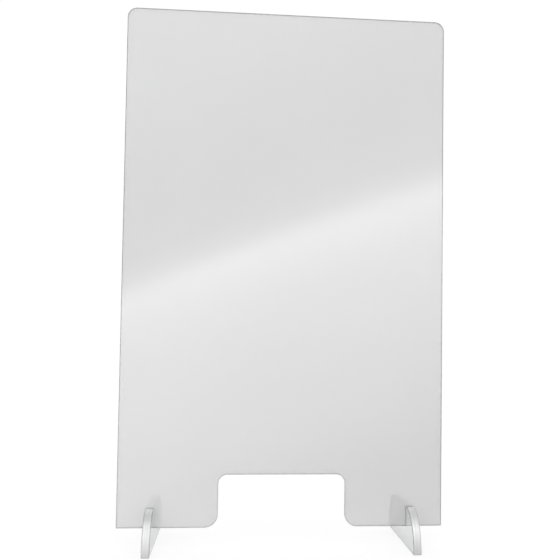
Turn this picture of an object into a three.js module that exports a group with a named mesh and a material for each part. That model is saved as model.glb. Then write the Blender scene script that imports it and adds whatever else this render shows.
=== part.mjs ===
// Countertop sneeze guard: one clear screen panel standing in two slotted clear feet.
// Millimetres, +Z up. The origin is on the counter, in the middle of the feet's footprint.
// The short, rounded fronts of the feet point along -Y and their long backs along +Y.
import * as THREE from "three";

// Screen panel
const panelWidth = 500;
const panelHeight = 800;
const panelThickness = 5;
const panelTopRadius = 15;
const panelLift = 30; // from the counter to the floor of the foot slots

// Pass-through in the panel's lower edge
const passWidth = 195;
const passHeight = 80;
const passTopRadius = 14;
const passLipRadius = 20;

// Feet
const footThickness = 12;
const footHeight = 60;
const footFrontLength = 60; // slot wall to the front tip
const footBackLength = 140; // slot wall to the back end
const footBackRadius = 40;
const footInset = 50; // panel's side edge to the foot's middle plane

// Fits and finish
const slotClearance = 0.3; // panel face to slot wall, on each side
const restGap = 0.3; // slot floor to the panel's lower edge
const edgeBreak = 0.5; // chamfer along every cut edge
const arcSteps = 10;

const slotHalf = panelThickness / 2 + slotClearance;
const footMiddle = (footBackLength - footFrontLength) / 2;

function clearAcrylic(colour) {
  return new THREE.MeshStandardMaterial({
    color: colour,
    roughness: 0.06,
    metalness: 0,
    transparent: true,
    opacity: 0.35,
  });
}

// A closed outline of square corners, given as [x, y, radius] going anticlockwise.
function squareOutline(corners) {
  const shape = new THREE.Shape();
  corners.forEach(([x, y, radius], index) => {
    const point = new THREE.Vector2(x, y);
    const last = corners.at(index - 1);
    const next = corners[(index + 1) % corners.length];
    const toLast = new THREE.Vector2(last[0], last[1]).sub(point).normalize();
    const toNext = new THREE.Vector2(next[0], next[1]).sub(point).normalize();
    const start = point.clone().addScaledVector(toLast, radius);
    if (index === 0) {
      shape.moveTo(start.x, start.y);
    } else {
      shape.lineTo(start.x, start.y);
    }
    if (radius > 0) {
      const centre = start.clone().addScaledVector(toNext, radius);
      const turnsRight = toNext.cross(toLast) < 0;
      const from = toNext.clone().negate().angle();
      const to = toLast.clone().negate().angle();
      shape.absarc(centre.x, centre.y, radius, from, to, turnsRight);
    }
  });
  shape.closePath();
  return shape;
}

// A plate cut to the outline, with its edges broken and its middle plane at z = 0.
function plate(shape, thickness) {
  const geometry = new THREE.ExtrudeGeometry(shape, {
    depth: thickness - 2 * edgeBreak,
    bevelThickness: edgeBreak,
    bevelSize: edgeBreak,
    bevelOffset: -edgeBreak,
    bevelSegments: 1,
    curveSegments: arcSteps,
  });
  geometry.translate(0, 0, edgeBreak - thickness / 2);
  return geometry;
}

function panelOutline() {
  const side = panelWidth / 2;
  const pass = passWidth / 2;
  return squareOutline([
    [-side, 0, 0],
    [-pass, 0, passLipRadius],
    [-pass, passHeight, passTopRadius],
    [pass, passHeight, passTopRadius],
    [pass, 0, passLipRadius],
    [side, 0, 0],
    [side, panelHeight, panelTopRadius],
    [-side, panelHeight, panelTopRadius],
  ]);
}

// Side view of a foot: x runs from the front tip to the back end, with the slot around x = 0.
function footOutline() {
  const tip = -slotHalf - footFrontLength;
  const back = slotHalf + footBackLength;
  const shape = new THREE.Shape();
  shape.moveTo(tip, 0);
  shape.lineTo(back, 0);
  shape.lineTo(back, footHeight - footBackRadius);
  shape.absarc(back - footBackRadius, footHeight - footBackRadius, footBackRadius, 0, Math.PI / 2);
  shape.lineTo(slotHalf, footHeight);
  shape.lineTo(slotHalf, panelLift);
  shape.lineTo(-slotHalf, panelLift);
  shape.lineTo(-slotHalf, footHeight);
  shape.absellipse(-slotHalf, 0, footFrontLength, footHeight, Math.PI / 2, Math.PI);
  return shape;
}

function makePanel() {
  const panel = new THREE.Mesh(plate(panelOutline(), panelThickness), clearAcrylic(0xdfe3e4));
  panel.name = "screen_panel";
  panel.rotation.x = Math.PI / 2;
  panel.position.z = panelLift + restGap;
  return panel;
}

function makeFoot(name, side) {
  const foot = new THREE.Mesh(plate(footOutline(), footThickness), clearAcrylic(0xd3d8d9));
  foot.name = name;
  foot.rotation.set(Math.PI / 2, 0, Math.PI / 2, "ZYX");
  foot.position.x = side * (panelWidth / 2 - footInset);
  return foot;
}

const sneezeGuard = new THREE.Group();
sneezeGuard.add(makePanel());
sneezeGuard.add(makeFoot("left_foot", -1));
sneezeGuard.add(makeFoot("right_foot", 1));
sneezeGuard.position.y = -footMiddle;

export default sneezeGuard;
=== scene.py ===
from math import pi, radians

import bmesh
import bpy
from mathutils import Matrix, Vector


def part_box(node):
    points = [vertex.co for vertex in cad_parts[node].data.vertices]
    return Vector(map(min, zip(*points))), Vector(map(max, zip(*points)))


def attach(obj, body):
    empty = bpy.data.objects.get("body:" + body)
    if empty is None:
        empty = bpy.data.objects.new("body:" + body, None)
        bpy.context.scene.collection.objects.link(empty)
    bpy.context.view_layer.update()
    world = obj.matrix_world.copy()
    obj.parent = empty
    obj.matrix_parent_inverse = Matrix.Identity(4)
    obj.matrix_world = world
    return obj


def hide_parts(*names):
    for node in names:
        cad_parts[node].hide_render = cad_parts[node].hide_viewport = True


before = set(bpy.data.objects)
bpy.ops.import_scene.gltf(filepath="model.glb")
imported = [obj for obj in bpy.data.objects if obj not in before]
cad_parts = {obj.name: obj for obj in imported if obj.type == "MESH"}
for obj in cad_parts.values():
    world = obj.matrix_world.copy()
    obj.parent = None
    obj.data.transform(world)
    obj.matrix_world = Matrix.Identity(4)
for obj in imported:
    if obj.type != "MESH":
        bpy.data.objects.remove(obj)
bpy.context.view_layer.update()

panelLow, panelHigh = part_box("screen_panel")
panelWide = panelHigh.x - panelLow.x
panelTall = panelHigh.z - panelLow.z
panelMiddle = (panelLow + panelHigh) / 2
print("frame loaded, panel", round(panelWide, 3), "by", round(panelTall, 3), "m")


# Node helpers

def startMaterial(name):
    material = bpy.data.materials.new(name)
    material.use_nodes = True
    tree = material.node_tree
    return material, tree, tree.nodes["Principled BSDF"]


def objectPlace(tree):
    # X, Y and Z on the piece's own coordinates, in metres
    coords = tree.nodes.new("ShaderNodeTexCoord")
    split = tree.nodes.new("ShaderNodeSeparateXYZ")
    tree.links.new(coords.outputs["Object"], split.inputs["Vector"])
    return split.outputs


def objectNoise(tree, stretch, detail, rough):
    # noise on the piece's own coordinates, stretch is how many lumps a metre along each axis
    coords = tree.nodes.new("ShaderNodeTexCoord")
    mapping = tree.nodes.new("ShaderNodeMapping")
    mapping.inputs["Scale"].default_value = stretch
    noise = tree.nodes.new("ShaderNodeTexNoise")
    noise.inputs["Scale"].default_value = 1.0
    noise.inputs["Detail"].default_value = detail
    noise.inputs["Roughness"].default_value = rough
    tree.links.new(coords.outputs["Object"], mapping.inputs["Vector"])
    tree.links.new(mapping.outputs["Vector"], noise.inputs["Vector"])
    return noise.outputs["Fac"]


def spread(tree, value, low, high, fromLow=0.3, fromHigh=0.7):
    # carries a value onto the range low to high, noise lies nearly all between 0.3 and 0.7
    node = tree.nodes.new("ShaderNodeMapRange")
    node.inputs["From Min"].default_value = fromLow
    node.inputs["From Max"].default_value = fromHigh
    node.inputs["To Min"].default_value = low
    node.inputs["To Max"].default_value = high
    tree.links.new(value, node.inputs["Value"])
    return node.outputs["Result"]


def blendTones(tree, value, dark, light):
    node = tree.nodes.new("ShaderNodeMix")
    node.data_type = "RGBA"
    node.inputs["A"].default_value = (*dark, 1)
    node.inputs["B"].default_value = (*light, 1)
    tree.links.new(value, node.inputs["Factor"])
    return node.outputs["Result"]


def calc(tree, operation, a, b=0.0, c=0.0):
    # one Math node, each of a, b and c is a number or another node's value
    node = tree.nodes.new("ShaderNodeMath")
    node.operation = operation
    for slot, value in zip(node.inputs, (a, b, c)):
        if isinstance(value, (int, float)):
            slot.default_value = value
        else:
            tree.links.new(value, slot)
    return node.outputs["Value"]


def ramp(tree, value, stops):
    node = tree.nodes.new("ShaderNodeValToRGB")
    tree.links.new(value, node.inputs["Fac"])
    elements = node.color_ramp.elements
    for index, (place, level) in enumerate(stops):
        stop = elements[index] if index < 2 else elements.new(place)  # a new ramp has two stops
        stop.position = place
        stop.color = (level, level, level, 1)
    return node.outputs["Color"]


def rise(tree, top):
    # 0 on the counter, 1 at the height of top
    return calc(tree, "DIVIDE", objectPlace(tree)["Z"], top)


def bumpFrom(tree, shader, height, distance):
    bump = tree.nodes.new("ShaderNodeBump")
    bump.inputs["Distance"].default_value = distance
    tree.links.new(height, bump.inputs["Height"])
    tree.links.new(bump.outputs["Normal"], shader.inputs["Normal"])


# Clear acrylic finishes, whose colours carry painted light and shade

acrylic = {
    "ior": 1.49,
    "cloud": {"stretch": (5, 5, 5), "detail": 2, "rough": 0.5},
    "haze": {"stretch": (38, 38, 14), "detail": 6, "rough": 0.62},
    "waves": {"stretch": (4, 4, 7), "detail": 1, "rough": 0.5},
    "grain": {"stretch": (700, 700, 700), "detail": 4, "rough": 0.65},
    "markAcross": 900,  # polishing marks a metre, across the plate and along the edge
    "markAlong": 9,
    "markDetail": 3,
    "markRough": 0.6,
}


def startAcrylic(name, look):
    material, tree, shader = startMaterial(name)
    shader.inputs["Transmission Weight"].default_value = look["clearness"]
    shader.inputs["IOR"].default_value = acrylic["ior"]
    return material, tree, shader


def colourWithPaintedShading(tree, shader, look, top, noise, amount):
    # painted light and shade: a ramp over the height picks from dark to light, standing in for how light
    # falls; the noise makes it uneven by up to half the amount each way, a tone that differs at random
    uneven = spread(tree, noise, -0.5, 0.5)
    paintedShading = ramp(tree, rise(tree, top), look["paintedShading"])
    tone = calc(tree, "MULTIPLY_ADD", uneven, amount, paintedShading)
    tree.links.new(blendTones(tree, tone, look["dark"], look["light"]), shader.inputs["Base Color"])


def polishedFace(name, look, top):
    material, tree, shader = startAcrylic(name, look)
    colourWithPaintedShading(tree, shader, look, top, objectNoise(tree, **acrylic["cloud"]), look["cloud"])
    haze = spread(tree, objectNoise(tree, **acrylic["haze"]), *look["roughness"])
    tree.links.new(haze, shader.inputs["Roughness"])
    bumpFrom(tree, shader, objectNoise(tree, **acrylic["waves"]), look["waviness"])
    return material


def cutEdge(name, look, across, top):
    # polishing marks run along the edge, so the noise is fine across the plate and long the other ways
    material, tree, shader = startAcrylic(name, look)
    stretch = [acrylic["markAcross"] if axis == across else acrylic["markAlong"] for axis in "xyz"]
    marks = objectNoise(tree, stretch, acrylic["markDetail"], acrylic["markRough"])
    colourWithPaintedShading(tree, shader, look, top, marks, look["streaks"])
    tree.links.new(spread(tree, marks, *look["roughness"]), shader.inputs["Roughness"])
    bumpFrom(tree, shader, marks, look["markDepth"])
    return material


def groundArris(name, look, top):
    material, tree, shader = startAcrylic(name, look)
    grain = objectNoise(tree, **acrylic["grain"])
    colourWithPaintedShading(tree, shader, look, top, grain, look["speckle"])
    tree.links.new(spread(tree, grain, *look["roughness"]), shader.inputs["Roughness"])
    bumpFrom(tree, shader, grain, look["grainDepth"])
    return material


# Plates, each cut from an outline and pushed out along the way through it

plate = {
    "edgeTurn": 1e-4,  # an edge that turns less than this from the way through is a corner's short edge
    "cornerNear": 1e-5,  # and belongs to the corner that it passes this close, in metres
    "facing": 0.5,  # a surface is a face where its normal lies more than this along the way through
    "flatFace": 0.999,  # the same once the rims are rounded
    "mergeNear": 1e-6,
    "areaWeight": 100,
}


def placeMesh(bm, name, materials):
    mesh = bpy.data.meshes.new(name)
    bm.to_mesh(mesh)
    bm.free()
    for material in materials:
        mesh.materials.append(material)
    placed = bpy.data.objects.new(name, mesh)
    bpy.context.collection.objects.link(placed)
    return placed


def vertsIn(geom):
    return [item for item in geom if isinstance(item, bmesh.types.BMVert)]


def pushOut(bm, push):
    grown = bmesh.ops.extrude_face_region(bm, geom=bm.faces[:])
    bmesh.ops.translate(bm, vec=push, verts=vertsIn(grown["geom"]))
    bmesh.ops.recalc_face_normals(bm, faces=bm.faces)


def cornerEdges(bm, along, places):
    # the short edges that run through the plate at each named corner of its outline
    found = []
    for edge in bm.edges:
        a, b = (vert.co for vert in edge.verts)
        if (a - b).normalized().cross(along).length > plate["edgeTurn"]:
            continue
        for place in places:
            if (a - place).cross(along).length < plate["cornerNear"]:
                found.append(edge)
    return found


def roundCorners(bm, along, places, radius, steps):
    bmesh.ops.bevel(bm, geom=cornerEdges(bm, along, places), offset=radius, affect="EDGES",
                    segments=steps, profile=0.5, clamp_overlap=False, material=-1)


def breakEdges(bm, along, corners, arris, steps):
    # rounds the rim of both faces and the sharp corners between, then sorts the plate's surfaces into
    # face, cut edge and arris
    sharp = [edge for edge in bm.edges
             if len({abs(face.normal.dot(along)) > plate["facing"] for face in edge.link_faces}) == 2]
    sharp += cornerEdges(bm, along, corners)
    made = bmesh.ops.bevel(bm, geom=sharp, offset=arris, affect="EDGES", segments=steps,
                           profile=0.5, clamp_overlap=False, material=-1)
    for face in bm.faces:
        face.material_index = 0 if abs(face.normal.dot(along)) > plate["flatFace"] else 1
    for face in made["faces"]:
        face.material_index = 2


def finishPlate(bm, name, body, node, materials):
    bmesh.ops.remove_doubles(bm, verts=bm.verts, dist=plate["mergeNear"])
    bmesh.ops.recalc_face_normals(bm, faces=bm.faces)
    for face in bm.faces:
        face.smooth = True
    piece = placeMesh(bm, name, materials)
    shading = piece.modifiers.new("even faces", "WEIGHTED_NORMAL")
    shading.mode = "FACE_AREA"
    shading.weight = plate["areaWeight"]
    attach(piece, body)
    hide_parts(node)
    print(name, "made with", len(piece.data.polygons), "faces")


# Screen panel

panelShape = {
    "topRadius": 0.015,
    "passWide": 0.195,
    "passTall": 0.080,
    "passTopRadius": 0.014,
    "passLipRadius": 0.020,
    "arris": 0.0009,
    "cornerSteps": 20,
    "arrisSteps": 3,
}
panelFinishAndPaintedShading = {
    # painted light: the face's ramp makes the tint lighter towards the panel's bottom, standing in for
    # light reflected there; the grey tint and the cloud are the sheet's own
    "face": {"dark": (0.716, 0.719, 0.716), "light": (0.800, 0.803, 0.800), "clearness": 0.62,
             "cloud": 0.15, "paintedShading": ((0.04, 1.0), (0.13, 0.55), (0.30, 0.25)),
             "roughness": (0.0, 0.03), "waviness": 0.00003},
    # painted shade: the cut edge is tinted grey so that it shows as a darker line, standing in for dark
    # surroundings seen through it; the streaks are polishing marks
    "edge": {"dark": (0.42, 0.43, 0.43), "light": (0.66, 0.67, 0.67), "clearness": 0.4,
             "streaks": 0.8, "paintedShading": ((0.0, 0.5), (1.0, 0.5)),
             "roughness": (0.12, 0.32), "markDepth": 0.00004},
    # painted shade: the arris is tinted dark so that the outline shows as a dark line, and its ramp makes
    # it darker towards the top; the speckle is grain
    "arris": {"dark": (0.10, 0.105, 0.105), "light": (0.46, 0.47, 0.47), "clearness": 0.3,
              "speckle": 0.35, "paintedShading": ((0.06, 0.8), (0.2, 0.45), (1.0, 0.2)),
              "roughness": (0.2, 0.45), "grainDepth": 0.00003},
}


def makePanel():
    shape = panelShape
    left, right = panelLow.x, panelHigh.x
    bottom, top = panelLow.z, panelHigh.z
    passLeft, passRight = -shape["passWide"] / 2, shape["passWide"] / 2
    passTop = bottom + shape["passTall"]
    through = Vector((0, 1, 0))
    outline = [(left, bottom), (passLeft, bottom), (passLeft, passTop), (passRight, passTop),
               (passRight, bottom), (right, bottom), (right, top), (left, top)]
    bm = bmesh.new()
    bm.faces.new([bm.verts.new((x, panelLow.y, z)) for x, z in outline])
    pushOut(bm, through * (panelHigh.y - panelLow.y))
    rounds = (
        (shape["topRadius"], ((left, top), (right, top))),
        (shape["passTopRadius"], ((passLeft, passTop), (passRight, passTop))),
        (shape["passLipRadius"], ((passLeft, bottom), (passRight, bottom))),
    )
    for radius, places in rounds:
        corners = [Vector((x, 0, z)) for x, z in places]
        roundCorners(bm, through, corners, radius, shape["cornerSteps"])
    lowerCorners = [Vector((x, 0, bottom)) for x in (left, right)]
    breakEdges(bm, through, lowerCorners, shape["arris"], shape["arrisSteps"])
    materials = (
        polishedFace("clear sheet face", panelFinishAndPaintedShading["face"], top),
        cutEdge("clear sheet cut edge", panelFinishAndPaintedShading["edge"], "y", top),
        groundArris("clear sheet arris", panelFinishAndPaintedShading["arris"], top),
    )
    finishPlate(bm, "clear_screen", "panel", "screen_panel", materials)


# Feet

footShape = {
    "slotClearance": 0.0003,
    "restGap": 0.0003,
    "backRadius": 0.040,
    "arris": 0.0007,
    "frontSteps": 40,
    "backSteps": 28,
    "arrisSteps": 3,
}
footFinishAndPaintedShading = {
    # painted shade: the ramp darkens the foot's faces towards the counter, where shade falls
    "face": {"dark": (0.74, 0.745, 0.745), "light": (0.965, 0.97, 0.97), "clearness": 0.68,
             "cloud": 0.15, "paintedShading": ((0.0, 0.2), (0.45, 0.75), (1.0, 0.95)),
             "roughness": (0.0, 0.04), "waviness": 0.00003},
    # painted light and shade: the edge is tinted grey to show as a darker line, and its ramp paints a
    # bright band a little above the middle and a bright line at the top, darker towards the counter; the
    # streaks are polishing marks
    "edge": {"dark": (0.50, 0.505, 0.505), "light": (0.90, 0.905, 0.905), "clearness": 0.3,
             "streaks": 0.35, "paintedShading": ((0.0, 0.32), (0.3, 0.5), (0.62, 0.85), (0.8, 0.65),
                                        (0.93, 0.6), (0.99, 1.0)),
             "roughness": (0.10, 0.30), "markDepth": 0.00005},
    # painted shade: the arris is tinted dark so that the foot's outline shows as a dark line; the speckle
    # is grain
    "arris": {"dark": (0.12, 0.125, 0.125), "light": (0.25, 0.255, 0.255), "clearness": 0.3,
              "speckle": 1.0, "paintedShading": ((0.0, 0.5), (1.0, 0.5)),
              "roughness": (0.2, 0.45), "grainDepth": 0.00003},
}


def footMaterials():
    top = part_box("left_foot")[1].z
    return (
        polishedFace("clear foot face", footFinishAndPaintedShading["face"], top),
        cutEdge("clear foot cut edge", footFinishAndPaintedShading["edge"], "x", top),
        groundArris("clear foot arris", footFinishAndPaintedShading["arris"], top),
    )


def makeFoot(name, node, materials):
    shape = footShape
    low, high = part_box(node)
    through = Vector((1, 0, 0))
    slotFront = panelLow.y - shape["slotClearance"]
    slotBack = panelHigh.y + shape["slotClearance"]
    slotFloor = panelLow.z - shape["restGap"]
    tall = high.z - low.z
    bm = bmesh.new()
    # front curve: a quarter turn from the slot's front lip down to the tip, drawn out to the foot's reach
    lip = bm.verts.new((low.x, slotFront, high.z))
    swept = bmesh.ops.spin(bm, geom=[lip], cent=(low.x, slotFront, low.z), axis=through,
                           angle=pi / 2, steps=shape["frontSteps"], use_merge=False)
    curve = [v for v in bm.verts if v is not lip]
    bmesh.ops.scale(bm, vec=(1, (slotFront - low.y) / tall, 1), verts=curve,
                    space=Matrix.Translation((0, -slotFront, 0)))
    tip = vertsIn(swept["geom_last"])[0]
    # then along the base, up the back and down into the slot, back to the lip
    corners = ((high.y, low.z), (high.y, high.z), (slotBack, high.z), (slotBack, slotFloor),
               (slotFront, slotFloor))
    chain = [tip] + [bm.verts.new((low.x, y, z)) for y, z in corners] + [lip]
    for start, end in zip(chain, chain[1:]):
        bm.edges.new((start, end))
    bmesh.ops.contextual_create(bm, geom=bm.edges[:])
    pushOut(bm, through * (high.x - low.x))
    backCorner = [Vector((0, high.y, high.z))]
    roundCorners(bm, through, backCorner, shape["backRadius"], shape["backSteps"])
    ends = ((low.y, low.z), (high.y, low.z), (slotFront, high.z), (slotBack, high.z))
    breakEdges(bm, through, [Vector((0, y, z)) for y, z in ends], shape["arris"], shape["arrisSteps"])
    finishPlate(bm, name, "feet", node, materials)


# Studio

studio = {
    "skyLevel": 1.02,
    "floorTone": 0.2,  # the rest of the floor's light is its own, as on a lit table
    "floorSize": 60.0,
}


def makeSky():
    world = bpy.data.worlds.new("studio")
    world.use_nodes = True
    background = world.node_tree.nodes["Background"]
    background.inputs["Color"].default_value = (1, 1, 1, 1)
    background.inputs["Strength"].default_value = studio["skyLevel"]
    bpy.context.scene.world = world


def makeFloor():
    bm = bmesh.new()
    bmesh.ops.create_grid(bm, x_segments=1, y_segments=1, size=studio["floorSize"] / 2)
    material, _, shader = startMaterial("floor")
    shader.inputs["Base Color"].default_value = (*[studio["floorTone"]] * 3, 1)
    shader.inputs["Roughness"].default_value = 1.0
    shader.inputs["Specular IOR Level"].default_value = 0.0
    shader.inputs["Emission Color"].default_value = (1, 1, 1, 1)
    shader.inputs["Emission Strength"].default_value = studio["skyLevel"] * (1 - studio["floorTone"])
    material.cycles.emission_sampling = "NONE"
    placeMesh(bm, "floor", [material])


# Softbox cards before and behind the panel, seen only as reflections: each has a slanting bright strip
# and fades into the sky's level at its sides and top

card = {
    "distance": 0.35,  # from the panel's middle plane
    "wide": 1.6,
    "tall": 1.5,
    "border": 0.25,
    "borderSoftness": 0.2,  # rounds the fade off where it becomes full
    "stripHeight": 0.485,  # of the strip's brightest line above the counter, at the middle
    "stripSlope": 0.383,
    "stripBend": -0.077,  # added to the slope for each metre to the right
    "reach": 0.614,  # the levels cover this far below and above the brightest line
    "frontPeak": 6.0,
    "rearPeak": 3.5,
    "rearLift": 0.1,  # height of the rear card's lower edge
    "rearFoot": 0.35,  # the rear card fades in over this height, so that the feet mirror no glare
    "levels": ((0.00, 0.02), (0.10, 0.14), (0.20, 0.40), (0.32, 0.60), (0.41, 0.72), (0.475, 0.90),
               (0.50, 1.00), (0.515, 0.97), (0.545, 0.58), (0.575, 0.42), (0.65, 0.38), (0.72, 0.40),
               (0.80, 0.46), (0.86, 0.55), (1.00, 0.58)),
}


def startGlow(name):
    material = bpy.data.materials.new(name)
    material.use_nodes = True
    material.cycles.emission_sampling = "NONE"
    tree = material.node_tree
    tree.nodes.clear()
    return material, tree, objectPlace(tree)


def stripLight(tree, x, z, peak):
    slope = calc(tree, "MULTIPLY_ADD", x, card["stripBend"], card["stripSlope"])
    centre = calc(tree, "MULTIPLY_ADD", slope, x, card["stripHeight"])
    above = calc(tree, "SUBTRACT", z, centre)
    onRamp = calc(tree, "MULTIPLY_ADD", above, 0.5 / card["reach"], 0.5)
    return calc(tree, "MULTIPLY", ramp(tree, onRamp, card["levels"]), peak)


def sideRoom(tree, x):
    # the way from a point to the card's nearer side
    return calc(tree, "SUBTRACT", card["wide"] / 2, calc(tree, "ABSOLUTE", x))


def glowInside(tree, light, room):
    # the card's own light, and the sky's level towards the border, where no room is left
    inside = calc(tree, "DIVIDE", room, card["border"])
    fade = calc(tree, "SMOOTH_MIN", inside, 1.0, card["borderSoftness"])
    fade = calc(tree, "MAXIMUM", fade, 0.0)
    change = calc(tree, "SUBTRACT", light, studio["skyLevel"])
    glow = tree.nodes.new("ShaderNodeEmission")
    tree.links.new(calc(tree, "MULTIPLY_ADD", change, fade, studio["skyLevel"]), glow.inputs["Strength"])
    output = tree.nodes.new("ShaderNodeOutputMaterial")
    tree.links.new(glow.outputs["Emission"], output.inputs["Surface"])


def cardGlow(name, peak, lift=0.0, foot=None):
    # with a foot, the light also fades in over that height above lift
    material, tree, place = startGlow(name)
    light = stripLight(tree, place["X"], place["Z"], peak)
    headRoom = calc(tree, "SUBTRACT", card["tall"], place["Z"])
    room = calc(tree, "MINIMUM", sideRoom(tree, place["X"]), headRoom)
    if foot:
        risen = calc(tree, "SUBTRACT", place["Z"], lift)
        room = calc(tree, "MINIMUM", room, calc(tree, "MULTIPLY", risen, card["border"] / foot))
    glowInside(tree, light, room)
    return material


def placeCard(bm, name, material):
    piece = placeMesh(bm, name, [material])
    piece.visible_camera = False
    piece.visible_diffuse = False
    piece.visible_transmission = False
    piece.visible_shadow = False


def makeCard(name, side, material, lift=0.0):
    # a 1 m square stood upright, then drawn out to the card's size
    bm = bmesh.new()
    bmesh.ops.create_grid(bm, x_segments=1, y_segments=1, size=0.5,
                          matrix=Matrix.Rotation(pi / 2, 4, "X"))
    bmesh.ops.scale(bm, vec=(card["wide"], 1, card["tall"] - lift), verts=bm.verts)
    middle = Vector((0, panelMiddle.y + side * card["distance"], (card["tall"] + lift) / 2))
    bmesh.ops.translate(bm, vec=middle, verts=bm.verts)
    placeCard(bm, name, material)


# Low card on the counter, also seen only as reflections: it carries the front card's light on towards
# the panel's foot, and is grey beside the feet so that their faces don't mirror a white counter

lowCard = {
    "back": 0.75,  # how far it runs behind the panel's middle plane, its front meets the front card
    "height": 0.0004,
    "feetLevel": 0.80,
    "feetFrom": -0.09,  # where the grey starts and where it is full, from the panel's middle plane
    "feetFull": -0.05,
}


def lowGlow():
    material, tree, place = startGlow("low glow")
    y = calc(tree, "SUBTRACT", place["Y"], panelMiddle.y)
    light = stripLight(tree, place["X"], 0.0, card["frontPeak"])
    toGrey = calc(tree, "SUBTRACT", lowCard["feetLevel"], light)
    atFeet = spread(tree, y, 0, 1, lowCard["feetFrom"], lowCard["feetFull"])
    light = calc(tree, "MULTIPLY_ADD", toGrey, atFeet, light)
    backRoom = calc(tree, "SUBTRACT", lowCard["back"], y)
    glowInside(tree, light, calc(tree, "MINIMUM", sideRoom(tree, place["X"]), backRoom))
    return material


def makeLowCard():
    deep = card["distance"] + lowCard["back"]
    bm = bmesh.new()
    bmesh.ops.create_grid(bm, x_segments=1, y_segments=1, size=0.5)
    bmesh.ops.scale(bm, vec=(card["wide"], deep, 1), verts=bm.verts)
    bmesh.ops.translate(bm, vec=(0, panelMiddle.y + lowCard["back"] - deep / 2, lowCard["height"]),
                        verts=bm.verts)
    placeCard(bm, "low card", lowGlow())


# Camera: its place is in panel widths from the spot on the counter under the panel's middle, its angles
# are in degrees and its lens and sensor in millimetres

cameraPlace = {
    "side": -0.161,
    "distance": 2.707,
    "height": 0.645,
    "turn": 5.68,
    "tilt": 2.78,
    "roll": 0.73,
    "lens": 55.95,
    "sensor": 36.0,
    "shift": (-0.070, 0.0264),
    "nearest": 0.01,
    "farthest": 200.0,
}


def makeCamera():
    place = cameraPlace
    data = bpy.data.cameras.new("camera")
    data.lens = place["lens"]
    data.sensor_width = place["sensor"]
    data.shift_x, data.shift_y = place["shift"]
    data.clip_start, data.clip_end = place["nearest"], place["farthest"]
    camera = bpy.data.objects.new("camera", data)
    bpy.context.collection.objects.link(camera)
    spot = Vector((place["side"] * panelWide, panelMiddle.y - place["distance"] * panelWide,
                   place["height"] * panelWide))
    camera.matrix_world = (Matrix.Translation(spot)
                           @ Matrix.Rotation(radians(-place["turn"]), 4, "Z")
                           @ Matrix.Rotation(radians(90 + place["tilt"]), 4, "X")
                           @ Matrix.Rotation(radians(place["roll"]), 4, "Z"))
    bpy.context.scene.camera = camera


makeSky()
makeFloor()
makeCard("front card", -1, cardGlow("front glow", card["frontPeak"]))
rearGlow = cardGlow("rear glow", card["rearPeak"], card["rearLift"], card["rearFoot"])
makeCard("rear card", 1, rearGlow, card["rearLift"])
makeLowCard()
makeCamera()
print("studio ready")
makePanel()
clearFoot = footMaterials()
makeFoot("clear_left_foot", "left_foot", clearFoot)
makeFoot("clear_right_foot", "right_foot", clearFoot)

view = bpy.context.scene.view_settings
view.view_transform = "Standard"
view.look = "None"
